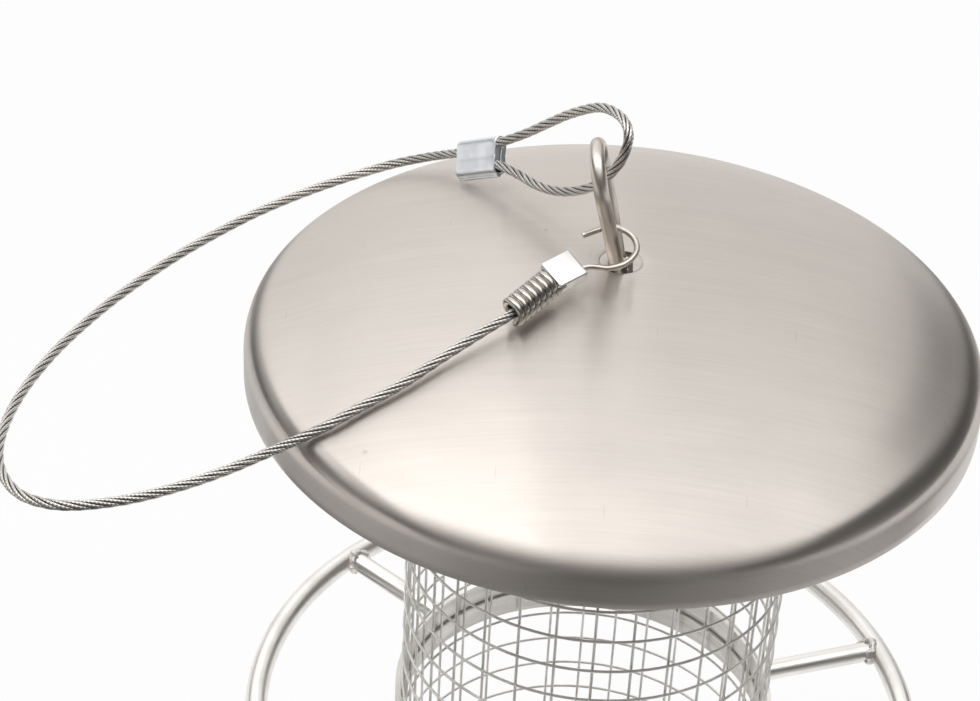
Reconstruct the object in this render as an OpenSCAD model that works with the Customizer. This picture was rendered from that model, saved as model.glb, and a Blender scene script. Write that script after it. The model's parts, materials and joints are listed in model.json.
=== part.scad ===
// Tube bird feeder: a wire mesh tube on a drained base cup, with a ring perch on three arms,
// a domed steel lid, and a hanging ring that carries a short wire rope with a loop and a hook.
// Sizes are in millimetres. The origin is at the middle of the base's underside, with +Z up.

/* [Mesh tube] */
// Diameter where the upright wires meet the hoops
tube_d = 81.5; // [70:0.5:100]
// Height of the mesh, from the base floor to its top
tube_h = 193; // [160:1:260]
// Thickness of the mesh wire
wire_d = 0.6; // [0.6:0.1:1.2]
// Number of upright wires, a multiple of four
upright_count = 32; // [24:4:40]
// Height of one mesh cell
row_pitch = 8; // [6:0.5:10]
// Turn of the mesh about the tube's axis
mesh_turn = 11.2; // [0:0.05:11.2]

/* [Base cup] */
// Thickness of the cup's floor
floor_t = 1.2; // [0.8:0.1:2]
// Thickness of the cup's wall
cup_wall = 1; // [0.8:0.1:2]
// Height of the cup's wall above the floor
cup_h = 14; // [13:0.5:24]
// Diameter of one drain hole
drain_d = 5; // [3:0.5:8]
// Number of drain holes
drain_count = 6; // [4:1:8]
// Diameter of the circle that the drain holes lie on
drain_circle_d = 48; // [36:1:56]

/* [Ring perch] */
// Height of the perch above the base's underside
perch_z = 85; // [50:1:130]
// Diameter of the perch ring at the middle of its rod
perch_d = 148; // [130:1:190]
// Thickness of the perch ring's rod
perch_rod_d = 5; // [4:0.2:8]
// Thickness of an arm, a little under the rod
arm_d = 4.6; // [3:0.2:7]
// Direction of the first arm
arm_turn = 20.7; // [0:0.1:60]
// Height of the band round the tube
band_h = 12; // [8:0.5:20]
// Thickness of the band
band_t = 1.2; // [0.8:0.1:2]

/* [Top collar and bridge] */
// Height of the collar round the top of the tube
collar_h = 14; // [13:0.5:20]
// Thickness of the collar
collar_t = 1.2; // [0.8:0.1:2]
// Height of the collar's edge above the mesh
collar_proud = 0.8; // [0.4:0.1:2]
// Width of the bridge bar
bridge_w = 12; // [9:0.5:16]
// Thickness of the bridge bar
bridge_t = 2; // [1.5:0.1:3]
// Drop of the bar's top face below the collar's edge
bridge_drop = 3; // [2.5:0.1:4]
// Length of the bar's turned-down ends
bridge_tab_h = 12; // [11:0.5:16]
// Diameter of the bush in the bar
bush_d = 10; // [9:0.5:12]
// Length of the bush below its flange
bush_h = 9; // [6:0.5:12]
// Diameter of a rivet's shank
rivet_d = 2.4; // [2:0.1:3]

/* [Lid] */
// Diameter of the lid
lid_d = 151; // [140:1:180]
// Height of the lid's crown above its lower edge
lid_h = 26.5; // [24:0.5:36]
// Height of the straight skirt
skirt_h = 5.5; // [4:0.5:8]
// Radius of the corner on the skirt
corner_r = 5.5; // [3:0.1:6]
// Radius of the shoulder between the corner and the dome
shoulder_r = 12; // [8:0.5:14]
// Thickness of the lid's sheet
sheet_t = 1; // [0.8:0.1:1.5]
// Diameter of the hole in the crown
crown_hole_d = 8.8; // [8.8:0.1:12]
// Height of the lid's seat above its lower edge
seat_h = 15; // [14:0.1:16]
// Thickness of the seat's lip
lip_t = 1.5; // [1:0.1:2]
// Thickness of the strap on the lip
strap_t = 1.5; // [1:0.1:2]
// Width of the strap
strap_w = 14; // [12:0.5:20]

/* [Hanger] */
// Diameter of the hanger's stem
stem_d = 6; // [5:0.1:7]
// Length of the stem below its flange's washer
stem_h = 17; // [12:0.5:20]
// Diameter of the stem's flange
flange_d = 13; // [10:0.5:16]
// Thickness of the stem's flange
flange_t = 1.5; // [1:0.1:1.8]
// Thickness of the washer under the flange
washer_t = 0.8; // [0.5:0.1:1]
// Thickness of the hanger's eye plate
eye_t = 1.3; // [0.8:0.1:1.4]
// Wall round the eye's hole
eye_wall = 1.2; // [0.8:0.1:1.3]
// Depth of the eye's middle below the top of the crown
eye_depth = 2.7; // [2.5:0.1:3]
// Thickness of the hanging ring's wire
ring_wire_d = 3; // [2.5:0.1:3]
// Radius of the ring's lower bend, at the middle of the wire
ring_low_r = 2.4; // [2.4:0.1:2.5]
// Radius of the ring's upper bend, at the middle of the wire
ring_top_r = 6.5; // [6:0.5:9]
// Height of the ring, between the middles of its two bends' wire
ring_h = 28.8; // [26:0.1:36]
// Lean of the ring from upright, where it rests
ring_lean = 13; // [5:1:13]

/* [Rope and hook] */
// Diameter of the wire rope
rope_d = 2; // [1.6:0.1:2.4]
// Length of the loop's crimp sleeve
sleeve_l = 14.5; // [12:0.5:18]
// Width of the loop's crimp sleeve
sleeve_w = 8; // [7.6:0.1:10]
// Thickness of the loop's crimp sleeve
sleeve_t = 3.6; // [3:0.1:5]
// Length of the hook's crimp
crimp_l = 6.2; // [5:0.1:8]
// Width of the hook's crimp
crimp_w = 5.6; // [5:0.1:8]
// Thickness of the hook's crimp
crimp_t = 2.9; // [2.6:0.1:4]
// Thickness of the hook's wire and its coil
hook_wire_d = 1.2; // [1:0.1:1.2]
// Outside diameter of the coil
coil_d = 5.7; // [5.6:0.1:6.2]
// Turns of the coil
coil_turns = 6; // [4:1:6]
// Rise of the coil in one turn
coil_pitch = 1.7; // [1.65:0.05:1.7]

/* [Hidden] */
$fn = 64;

// Gap between pieces that are welded, riveted or seated on each other
seat_gap = 0.05;
// Gap of a hole round its shank
hole_gap = 0.1;
// Gap of a sliding or turning fit
run_gap = 0.15;
// Overreach of a cut past the faces it opens
past = 1;
// Overlap of two cuts that meet on one plane
sliver = 0.001;
// Steps round the lid
lid_sides = 180;

// Mesh
upright_circle_r = tube_d / 2 - wire_d / 2 - seat_gap / 2;
hoop_circle_r = tube_d / 2 + wire_d / 2 + seat_gap / 2;
mesh_inner_r = upright_circle_r - wire_d / 2;
mesh_outer_r = hoop_circle_r + wire_d / 2;
upright_step = 360 / upright_count;
hoop_count = floor(tube_h / row_pitch);
first_hoop_z = floor_t + row_pitch / 2;
mesh_top_z = floor_t + tube_h;
// Direction of the middle of the first mesh cell, where rivets pass between the wires
cell_turn = mesh_turn + upright_step / 2;

// Rivets pass through the middle of a row of cells
rivet_head_d = 2 * rivet_d;
rivet_head_h = rivet_d / 2;
rivet_hole_d = rivet_d + 2 * hole_gap;
base_rivet_count = 4;
base_rivet_z = first_hoop_z + row_pitch / 2;
// Washers inside the mesh lap over the two wires beside a cell, and touch the round mesh at their edges
washer_lap = 0.55;
washer_d = 2 * upright_circle_r * sin(upright_step / 2) + 2 * washer_lap;
base_washer_t = 1;
base_washer_out = sqrt(pow(mesh_inner_r - seat_gap, 2) - pow(washer_d / 2, 2));
base_washer_in = base_washer_out - base_washer_t;
cup_r = mesh_outer_r + seat_gap + cup_wall;

// Perch
band_r = mesh_outer_r + seat_gap + band_t;
arm_count = 3;
// A weld bead's thickness round the arm, its length, and its reach over the ring's rod
weld_t = 0.55;
weld_l = 1.6;
weld_lap = 0.5;
weld_d = arm_d + 2 * weld_t;
ring_edge = (perch_d - perch_rod_d) / 2;

// Top collar, bridge bar and bush
collar_r = mesh_outer_r + seat_gap + collar_t;
seat_z = mesh_top_z + collar_proud;
collar_mid_z = seat_z - collar_h / 2;
// The row of cells nearest the collar's middle
bridge_rivet_row = round((collar_mid_z - first_hoop_z) / row_pitch - 0.5);
bridge_rivet_z = first_hoop_z + (bridge_rivet_row + 0.5) * row_pitch;
bridge_top_z = seat_z - bridge_drop;
// The bar's square ends touch the round mesh at their corners
bridge_reach = sqrt(pow(mesh_inner_r - seat_gap, 2) - pow(bridge_w / 2, 2));
// The bush's rim lies on the bar
bush_rim = 2;
bush_flange_d = bush_d + 2 * bush_rim;
bush_flange_t = 1.5;
bush_low_z = bridge_top_z + seat_gap - bush_h;
bush_bore_d = stem_d + 2 * run_gap;

// Lid: the dome is the arc that meets the shoulder's arc smoothly and passes through the crown
lid_z = seat_z - seat_h;
lid_r = lid_d / 2;
dome_rise = lid_h - skirt_h;
// Direction, up from level, of the point where corner and shoulder meet
corner_end = 45;
function up_from_level(a) = [cos(a), sin(a)];
corner_mid = [lid_r - corner_r, skirt_h];
shoulder_mid = corner_mid + (corner_r - shoulder_r) * up_from_level(corner_end);
shoulder_drop = lid_h - shoulder_mid.y;
dome_r = (pow(shoulder_mid.x, 2) + pow(shoulder_drop, 2) - pow(shoulder_r, 2))
    / (2 * (shoulder_drop - shoulder_r));
dome_mid = lid_h - dome_r;
// Direction, up from level, of the point where shoulder and dome meet
shoulder_end = atan2(shoulder_mid.y - dome_mid, shoulder_mid.x);
// The lid's own collar clears the rivet heads on the top collar, and its lip lies on that collar
rivet_clear = 0.3;
lid_collar_t = 1;
lid_collar_in_r = collar_r + rivet_head_h + rivet_clear;
lid_collar_out_r = lid_collar_in_r + lid_collar_t;
lid_collar_low = 2;
lip_over = 1;
lip_in_r = mesh_outer_r - lip_over;
// Height of the dome's underside at a given radius, above the lid's lower edge
function dome_under(r) = dome_mid + sqrt(pow(dome_r - sheet_t, 2) - r * r);
lid_collar_top = dome_under(lid_collar_out_r) - seat_gap;

// Hanger, in heights above the lid's lower edge
strap_top = seat_h + lip_t + strap_t;
// The strap's ends reach the lid's collar, or the dome's underside where that comes down first
function under_radius(h) = sqrt(pow(dome_r - sheet_t, 2) - pow(h - dome_mid, 2));
strap_r = min(lid_collar_in_r - seat_gap, under_radius(strap_top + seat_gap));
flange_low = strap_top + washer_t;
flange_top = flange_low + flange_t;
eye_mid = lid_h - eye_depth;
// Play of the ring's wire in the eye
eye_play = 0.8;
eye_hole_d = ring_wire_d + eye_play;
eye_w = eye_hole_d + 2 * eye_wall;
// Two cheeks on the flange fill the crown's hole beside the ring and clear it at both ends of its swing
cheek_d = crown_hole_d - 2 * run_gap;
cheek_in = ring_wire_d / 2 / cos(ring_lean) + eye_depth * tan(ring_lean) + 2 * run_gap;
cheek_top = lid_h - 2 * run_gap;

// Hanging ring: two bends joined by straight limbs that touch both smoothly
ring_top_mid = ring_h - ring_top_r;
ring_limb_turn = asin((ring_top_r - ring_low_r) / (ring_top_mid - ring_low_r));
ring_limb_l = (ring_top_mid - ring_low_r) * cos(ring_limb_turn);
// A limb stops this far short of each bend, inside a weld ball a hair thicker than the wire
limb_short = 0.1;
ring_ball_d = ring_wire_d + 0.04;

// Crimp sleeve of the loop: its middle above the lid's lower edge, and its turn, climb and roll
sleeve_mid = [-30.07, 35.53, 27.03];
sleeve_turn = -48.3;
sleeve_climb = 30.5;
sleeve_roll = 66.5;
// Crimp of the hook: the middle of the face where the rope goes in, and its turn, climb and roll
crimp_face = [-13.37, -14.79, 30.43];
crimp_turn = 49.2;
crimp_climb = 12;
crimp_roll = 16;
crimp_round = 0.5;

// Route of the rope from the sleeve to the hook's crimp, in heights above the lid's lower edge
rope_route = [
    [-34.2, 40.8, 24.9], [-38.1, 45.7, 21.2], [-43.2, 50.5, 17.1], [-52, 53.7, 12.3],
    [-65.6, 48.1, 9.4], [-78.4, 38.5, 7.7], [-89.7, 26.3, 6.5], [-97.1, 15.9, 6], [-104.9, 2.6, 5.6],
    [-111.4, -11.7, 5.2], [-115.3, -23.5, 4.7], [-117.2, -34.3, 4.5], [-117.3, -44.3, 4.4],
    [-115.4, -52.2, 4.2], [-111.1, -58.3, 4], [-105.1, -61.6, 4.5], [-98.5, -62, 4.9],
    [-89.7, -59.9, 5.4], [-80.7, -56.3, 6.4], [-72.6, -52, 7.5], [-65.1, -46.7, 8.4],
    [-58.9, -45.1, 11.3], [-54.2, -43.9, 13.55], [-50, -41.9, 15.55], [-41.1, -37.3, 19.3],
    [-32.5, -31.2, 23], [-24.4, -26, 26.6], [-20.6, -23.3, 28], [-17, -19, 29.2],
    [-13.3, -14.8, 30.4]
];
// Route of the loop, out of the sleeve, round the ring's far limb and back
loop_route = [
    [-26.5, 32.5, 32.7], [-21.3, 28, 37.8], [-15.9, 22.9, 44], [-11.9, 19.1, 48.5],
    [-6.8, 13.9, 53.3], [-3.6, 9.7, 55], [-1.4, 5.5, 55.4], [-0.5, 2.8, 54.2], [-0.6, 1.6, 52.2],
    [-1.6, 1.5, 48.8], [-3.1, 1.9, 45.8], [-4.7, 2.9, 43.4], [-6.6, 4.5, 40.7], [-9.7, 7.6, 37.5],
    [-13.5, 12.2, 34.3], [-17.6, 17.8, 31.9], [-22.2, 24.6, 30.4], [-26.4, 29.7, 29.2]
];
// Route of the hook's wire, from the crimp's corner round the ring's near limb
hook_route = [
    [-8.1, -11.6, 31.5], [-6.4, -11.1, 31.8], [-4.6, -11.1, 31.8], [-2.7, -11.2, 31.8],
    [0.2, -10.1, 32.2], [2.2, -8, 33], [2.7, -5.7, 33.8], [1.6, -3.4, 34.7], [-0.8, -1.8, 35.2],
    [-2.8, -1.6, 35.3], [-4.8, -2.3, 35], [-8.1, -4.1, 34.4]
];

// Steps between two points of a route, and sides of a tube along it
route_steps = 2;
rope_sides = 8;

// Directions and curves
function unit(v) = v / norm(v);
// The part of v that is square to the direction t
function square_to(v, t) = unit(v - (v * t) * t);
function along(p, i) = unit(p[min(i + 1, len(p) - 1)] - p[max(i - 1, 0)]);
// One point of a smooth curve through b and c, with a and d beside them
function between(a, b, c, d, t) = 0.5 * (2 * b + (c - a) * t + (2 * a - 5 * b + 4 * c - d) * t * t
    + (3 * b - a - 3 * c + d) * t * t * t);
function last(p) = p[len(p) - 1];
function smooth(p, steps) = [
    for (i = [0 : len(p) - 2], k = [0 : steps - 1])
        between(p[max(i - 1, 0)], p[i], p[i + 1], p[min(i + 2, len(p) - 1)], k / steps),
    last(p)
];
// Side directions of a tube along p, carried along it without twisting
side_hint = [0.3, 0.2, 1];
function sides_along(p) = [
    for (i = 0, n = square_to(side_hint, along(p, 0)); i < len(p);
         i = i + 1, n = square_to(n, along(p, min(i, len(p) - 1)))) n
];

// A closed tube of thickness d along the points p
module tube(p, d, sides) {
    side = sides_along(p);
    rings = [for (i = [0 : len(p) - 1], k = [0 : sides - 1])
        p[i] + d / 2 * (cos(360 * k / sides) * side[i]
            + sin(360 * k / sides) * cross(along(p, i), side[i]))];
    walls = [for (i = [0 : len(p) - 2], k = [0 : sides - 1], half = [0, 1])
        half == 0
            ? [i * sides + k, (i + 1) * sides + k, i * sides + (k + 1) % sides]
            : [i * sides + (k + 1) % sides, (i + 1) * sides + k, (i + 1) * sides + (k + 1) % sides]];
    end = (len(p) - 1) * sides;
    caps = [for (k = [1 : sides - 2], half = [0, 1])
        half == 0 ? [0, k, k + 1] : [end, end + k + 1, end + k]];
    polyhedron(rings, concat(walls, caps));
}

// Points of the coil round the X axis, with its loose end first and its last stretch into the crimp
coil_r = (coil_d - hook_wire_d) / 2;
rings_per_turn = 8;
coil_sides = 6;
// Direction of the loose end round the axis
coil_turn = 180;
// The rope lies to one side inside the coil
coil_aside = 0.4;
function coil_point(t) = [coil_pitch * t, coil_r * cos(360 * t + coil_turn),
    -coil_r * sin(360 * t + coil_turn)];
coil_wound = [for (i = [0 : coil_turns * rings_per_turn]) coil_point(i / rings_per_turn)];
coil_start = unit(coil_wound[1] - coil_wound[0]);
coil_leave = unit(last(coil_wound) - coil_wound[len(coil_wound) - 2]);
// The last stretch turns from the winding into the rope's direction in two steps
bend_step = hook_wire_d / 2;
bend_turns = [30, 65];
function bend_way(turn) = cos(turn) * coil_leave + sin(turn) * [1, 0, 0];
bend_1 = last(coil_wound) + bend_step * bend_way(bend_turns[0]);
bend_2 = bend_1 + bend_step * bend_way(bend_turns[1]);
coil_points = concat([coil_wound[0] - hook_wire_d * coil_start], coil_wound,
    [bend_1, bend_2, bend_2 + hook_wire_d * [1, 0, 0]]);
coil_l = last(coil_points)[0];
// Least gap of the coil to itself, between points at least half a turn apart
coil_last = len(coil_points) - 1;
half_turn = rings_per_turn / 2;
coil_gap = min([for (i = [0 : coil_last - half_turn], k = [i + half_turn : coil_last])
    norm(coil_points[i] - coil_points[k])]) - hook_wire_d;
echo(coil_least_gap = coil_gap);

// Places that several pieces share
module at_lid() {
    translate([0, 0, lid_z]) children();
}
module at_ring() {
    at_lid() translate([0, 0, eye_mid]) rotate([0, -ring_lean, 0]) children();
}
module at_sleeve() {
    at_lid() translate(sleeve_mid) rotate([sleeve_roll, -sleeve_climb, sleeve_turn]) children();
}
module at_crimp() {
    at_lid() translate(crimp_face) rotate([crimp_roll, -crimp_climb, crimp_turn]) children();
}
// A band round the tube, from its inner to its outer radius
module band(in_r, out_r, h) {
    difference() {
        cylinder(r = out_r, h = h);
        translate([0, 0, -past]) cylinder(r = in_r, h = h + 2 * past);
    }
}
// A rod along X
module rod_x(d, from, to) {
    translate([from, 0, 0]) rotate([0, 90, 0]) cylinder(d = d, h = to - from);
}
// A rivet along X, with a flat head at each end of its grip
module rivet(from, to) {
    rod_x(rivet_d, from - rivet_head_h, to + rivet_head_h);
    rod_x(rivet_head_d, from - rivet_head_h, from);
    rod_x(rivet_head_d, to, to + rivet_head_h);
}
module perch_torus(extra = 0) {
    translate([0, 0, perch_z]) rotate_extrude()
        translate([perch_d / 2, 0]) circle(d = perch_rod_d + extra);
}

// Base cup with drain holes, and the rivets and washers that hold the mesh in it
module base_cup() {
    color("silver") difference() {
        cylinder(r = cup_r, h = floor_t + cup_h);
        translate([0, 0, floor_t]) cylinder(r = cup_r - cup_wall, h = cup_h + past);
        for (i = [0 : drain_count - 1])
            rotate([0, 0, 360 * i / drain_count])
                translate([drain_circle_d / 2, 0, -past])
                    cylinder(d = drain_d, h = floor_t + 2 * past);
        for (i = [0 : base_rivet_count - 1])
            rotate([0, 0, cell_turn + 360 * i / base_rivet_count]) translate([0, 0, base_rivet_z])
                rod_x(rivet_hole_d, cup_r - cup_wall - past, cup_r + past);
    }
}
module base_rivets() {
    color("gainsboro") for (i = [0 : base_rivet_count - 1])
        rotate([0, 0, cell_turn + 360 * i / base_rivet_count]) translate([0, 0, base_rivet_z])
            rivet(base_washer_in - seat_gap, cup_r + seat_gap);
}
module base_washers() {
    color("gainsboro") for (i = [0 : base_rivet_count - 1])
        rotate([0, 0, cell_turn + 360 * i / base_rivet_count]) translate([0, 0, base_rivet_z])
            difference() {
                rod_x(washer_d, base_washer_in, base_washer_out);
                rod_x(rivet_hole_d, base_washer_in - past, base_washer_out + past);
            }
}

// Mesh: upright wires inside, hoops outside
module mesh_uprights() {
    color("lightgray") for (i = [0 : upright_count - 1])
        rotate([0, 0, mesh_turn + i * upright_step])
            translate([upright_circle_r, 0, floor_t + seat_gap])
                cylinder(d = wire_d, h = tube_h - seat_gap);
}
module mesh_hoops() {
    color("lightgray") for (i = [0 : hoop_count - 1])
        translate([0, 0, first_hoop_z + i * row_pitch])
            rotate_extrude() translate([hoop_circle_r, 0]) circle(d = wire_d);
}

// Perch: a band round the tube, three arms, the ring and the weld beads
module perch_band() {
    color("silver") translate([0, 0, perch_z - band_h / 2]) band(band_r - band_t, band_r, band_h);
}
module perch_arm(turn) {
    color("silver") difference() {
        rotate([0, 0, turn]) translate([0, 0, perch_z]) rod_x(arm_d, band_r - band_t, perch_d / 2);
        perch_torus(2 * seat_gap);
        translate([0, 0, perch_z - band_h / 2]) cylinder(r = band_r + seat_gap, h = band_h);
    }
}
module perch_arm_right() {
    perch_arm(arm_turn);
}
module perch_arm_left() {
    perch_arm(arm_turn + 360 / arm_count);
}
module perch_arm_front() {
    perch_arm(arm_turn + 2 * 360 / arm_count);
}
module perch_ring() {
    color("silver") perch_torus();
}
module perch_welds() {
    color("darkgray") for (i = [0 : arm_count - 1]) {
        difference() {
            rotate([0, 0, arm_turn + 360 * i / arm_count]) translate([0, 0, perch_z])
                difference() {
                    rod_x(weld_d, ring_edge - weld_l, ring_edge + weld_lap);
                    rod_x(arm_d + 2 * seat_gap, ring_edge - weld_l - past, ring_edge + weld_l);
                }
            perch_torus(2 * seat_gap);
        }
        difference() {
            rotate([0, 0, arm_turn + 360 * i / arm_count]) translate([0, 0, perch_z])
                difference() {
                    rod_x(weld_d, band_r - band_t, band_r + weld_l);
                    rod_x(arm_d + 2 * seat_gap, band_r - band_t - past, band_r + weld_l + past);
                }
            translate([0, 0, perch_z - band_h / 2]) cylinder(r = band_r + seat_gap, h = band_h);
        }
    }
}

// Top collar, the bridge bar riveted across it, and the bush that takes the hanger's stem
module top_collar() {
    color("silver") difference() {
        translate([0, 0, seat_z - collar_h]) band(collar_r - collar_t, collar_r, collar_h);
        for (side = [0, 180])
            rotate([0, 0, cell_turn + side]) translate([0, 0, bridge_rivet_z])
                rod_x(rivet_hole_d, collar_r - collar_t - past, collar_r + past);
    }
}
module bridge_bar() {
    color("gray") rotate([0, 0, cell_turn]) difference() {
        union() {
            translate([-bridge_reach, -bridge_w / 2, bridge_top_z - bridge_t])
                cube([2 * bridge_reach, bridge_w, bridge_t]);
            for (side = [-1, 1])
                translate([side * (bridge_reach - bridge_t / 2) - bridge_t / 2, -bridge_w / 2,
                           bridge_top_z - bridge_tab_h])
                    cube([bridge_t, bridge_w, bridge_tab_h]);
        }
        translate([0, 0, bridge_top_z - bridge_t - past])
            cylinder(d = bush_d + 2 * seat_gap, h = bridge_t + 2 * past);
        translate([0, 0, bridge_rivet_z])
            rod_x(rivet_hole_d, -bridge_reach - past, bridge_reach + past);
    }
}
module bridge_bush() {
    color("darkgoldenrod") difference() {
        union() {
            translate([0, 0, bridge_top_z + seat_gap]) cylinder(d = bush_flange_d, h = bush_flange_t);
            translate([0, 0, bush_low_z]) cylinder(d = bush_d, h = bush_h + bush_flange_t / 2);
        }
        translate([0, 0, bush_low_z - past])
            cylinder(d = bush_bore_d, h = bush_h + bush_flange_t + 2 * past);
    }
}
module bridge_rivets() {
    color("gainsboro") for (side = [0, 180])
        rotate([0, 0, cell_turn + side]) translate([0, 0, bridge_rivet_z])
            rivet(bridge_reach - bridge_t - seat_gap, collar_r + seat_gap);
}

// Lid: half outline of the solid dome whose surface lies the given depth inside the lid's own
module dome_outline(depth) {
    r = lid_r - depth;
    low_meet = corner_mid + (corner_r - depth) * up_from_level(corner_end);
    high_meet = shoulder_mid + (shoulder_r - depth) * up_from_level(shoulder_end);
    intersection() {
        translate([0, dome_mid]) circle(r = dome_r - depth, $fn = lid_sides);
        polygon([[0, 0], [r, 0], [r, skirt_h], low_meet, high_meet, high_meet + [-corner_r, 2 * dome_rise],
                 [0, skirt_h + 2 * dome_rise]]);
    }
    intersection() {
        translate(shoulder_mid) circle(r = shoulder_r - depth);
        polygon([shoulder_mid, shoulder_mid + 2 * shoulder_r * up_from_level(corner_end),
                 shoulder_mid + 2 * shoulder_r * up_from_level(shoulder_end)]);
    }
    translate(corner_mid) circle(r = corner_r - depth);
}
module lid_shell() {
    color("darkgray") at_lid() difference() {
        rotate_extrude($fn = lid_sides) difference() {
            dome_outline(0);
            translate([0, -past]) square([lid_r - sheet_t, past + sliver]);
            dome_outline(sheet_t);
        }
        translate([0, 0, lid_h - dome_rise]) cylinder(d = crown_hole_d, h = 2 * dome_rise);
    }
}
module lid_collar() {
    color("gray") at_lid() rotate_extrude() polygon([
        [lip_in_r, seat_h], [lid_collar_in_r, seat_h], [lid_collar_in_r, lid_collar_low],
        [lid_collar_out_r, lid_collar_low], [lid_collar_out_r, lid_collar_top],
        [lid_collar_in_r, lid_collar_top], [lid_collar_in_r, seat_h + lip_t], [lip_in_r, seat_h + lip_t]
    ]);
}
module lid_strap() {
    color("gray") at_lid() translate([0, 0, seat_h + lip_t]) difference() {
        intersection() {
            translate([-lid_collar_in_r, -strap_w / 2, 0])
                cube([2 * lid_collar_in_r, strap_w, strap_t]);
            cylinder(r = strap_r, h = strap_t);
        }
        translate([0, 0, -past]) cylinder(d = stem_d + 4 * run_gap, h = strap_t + 2 * past);
    }
}

// Hanger stem with its flange, cheeks and eye plate, the washer under it, and the leaning ring in its eye
module hanger_stem() {
    color("gray") at_lid() {
        translate([0, 0, strap_top - stem_h]) cylinder(d = stem_d, h = stem_h + washer_t + flange_t);
        translate([0, 0, flange_low]) cylinder(d = flange_d, h = flange_t);
        difference() {
            translate([0, 0, flange_low]) cylinder(d = cheek_d, h = cheek_top - flange_low);
            translate([-cheek_in, -cheek_d, flange_top]) cube([2 * cheek_in, 2 * cheek_d, cheek_top]);
        }
        translate([0, 0, eye_mid]) rotate([90, 0, 0]) translate([0, 0, -eye_t / 2]) difference() {
            union() {
                cylinder(d = eye_w, h = eye_t);
                translate([-eye_w / 2, flange_top - eye_mid - flange_t / 2, 0])
                    cube([eye_w, eye_mid - flange_top + flange_t / 2, eye_t]);
            }
            translate([0, 0, -past]) cylinder(d = eye_hole_d, h = eye_t + 2 * past);
        }
    }
}
module hanger_washer() {
    color("silver") at_lid() translate([0, 0, strap_top])
        band(stem_d / 2 + run_gap, flange_d / 2, washer_t);
}
// A bend of the ring in the YZ plane, from one angle to another
module ring_bend(r, from, to) {
    rotate([90, 0, 90]) rotate([0, 0, from]) rotate_extrude(angle = to - from)
        translate([r, 0]) circle(d = ring_wire_d);
}
module hanging_ring() {
    color("tan") at_ring() {
        translate([0, 0, ring_low_r])
            ring_bend(ring_low_r, 180 + ring_limb_turn, 360 - ring_limb_turn);
        translate([0, 0, ring_top_mid])
            ring_bend(ring_top_r, -ring_limb_turn, 180 + ring_limb_turn);
        for (side = [-1, 1])
            translate([0, side * ring_low_r * cos(ring_limb_turn),
                       ring_low_r * (1 - sin(ring_limb_turn))])
                rotate([-side * ring_limb_turn, 0, 0]) {
                    translate([0, 0, limb_short])
                        cylinder(d = ring_wire_d, h = ring_limb_l - 2 * limb_short);
                    for (z = [0, ring_limb_l])
                        translate([0, 0, z]) sphere(d = ring_ball_d);
                }
    }
}

// Wire rope: the long stretch and the loop, with the crimp sleeve that closes the loop
module hanger_rope() {
    color("dimgray") at_lid() tube(smooth(rope_route, route_steps), rope_d, rope_sides);
}
module rope_loop() {
    color("dimgray") at_lid() tube(loop_route, rope_d, rope_sides);
}
module loop_sleeve() {
    color("gainsboro") at_sleeve() rotate([90, 0, 90]) translate([0, 0, -sleeve_l / 2]) {
        translate([-(sleeve_w - sleeve_t) / 2, -sleeve_t / 2, 0])
            cube([sleeve_w - sleeve_t, sleeve_t, sleeve_l]);
        for (side = [-1, 1])
            translate([side * (sleeve_w - sleeve_t) / 2, 0, 0]) cylinder(d = sleeve_t, h = sleeve_l);
    }
}

// Hook: the crimp on the rope's end, the coil round the rope, and the hook's wire
module hook_crimp() {
    color("whitesmoke") at_crimp() rotate([90, 0, 90]) linear_extrude(crimp_l) {
        square([crimp_w - 2 * crimp_round, crimp_t], center = true);
        square([crimp_w, crimp_t - 2 * crimp_round], center = true);
        for (x = [-1, 1], y = [-1, 1])
            translate([x * (crimp_w / 2 - crimp_round), y * (crimp_t / 2 - crimp_round)])
                circle(r = crimp_round);
    }
}
module hook_coil() {
    color("silver") at_crimp() translate([-coil_l - seat_gap, coil_aside, 0])
        tube(coil_points, hook_wire_d, coil_sides);
}
module hook_wire() {
    color("tan") at_lid() tube(smooth(hook_route, route_steps), hook_wire_d, rope_sides);
}

base_cup();
base_rivets();
base_washers();
mesh_uprights();
mesh_hoops();
perch_band();
perch_arm_right();
perch_arm_left();
perch_arm_front();
perch_ring();
perch_welds();
top_collar();
bridge_bar();
bridge_bush();
bridge_rivets();
lid_shell();
lid_collar();
lid_strap();
hanger_stem();
hanger_washer();
hanging_ring();
hanger_rope();
rope_loop();
loop_sleeve();
hook_crimp();
hook_coil();
hook_wire();
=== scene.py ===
"""Looks of a hanging tube bird feeder: brushed lid, wire rope and hook, mesh tube and studio."""

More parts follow.
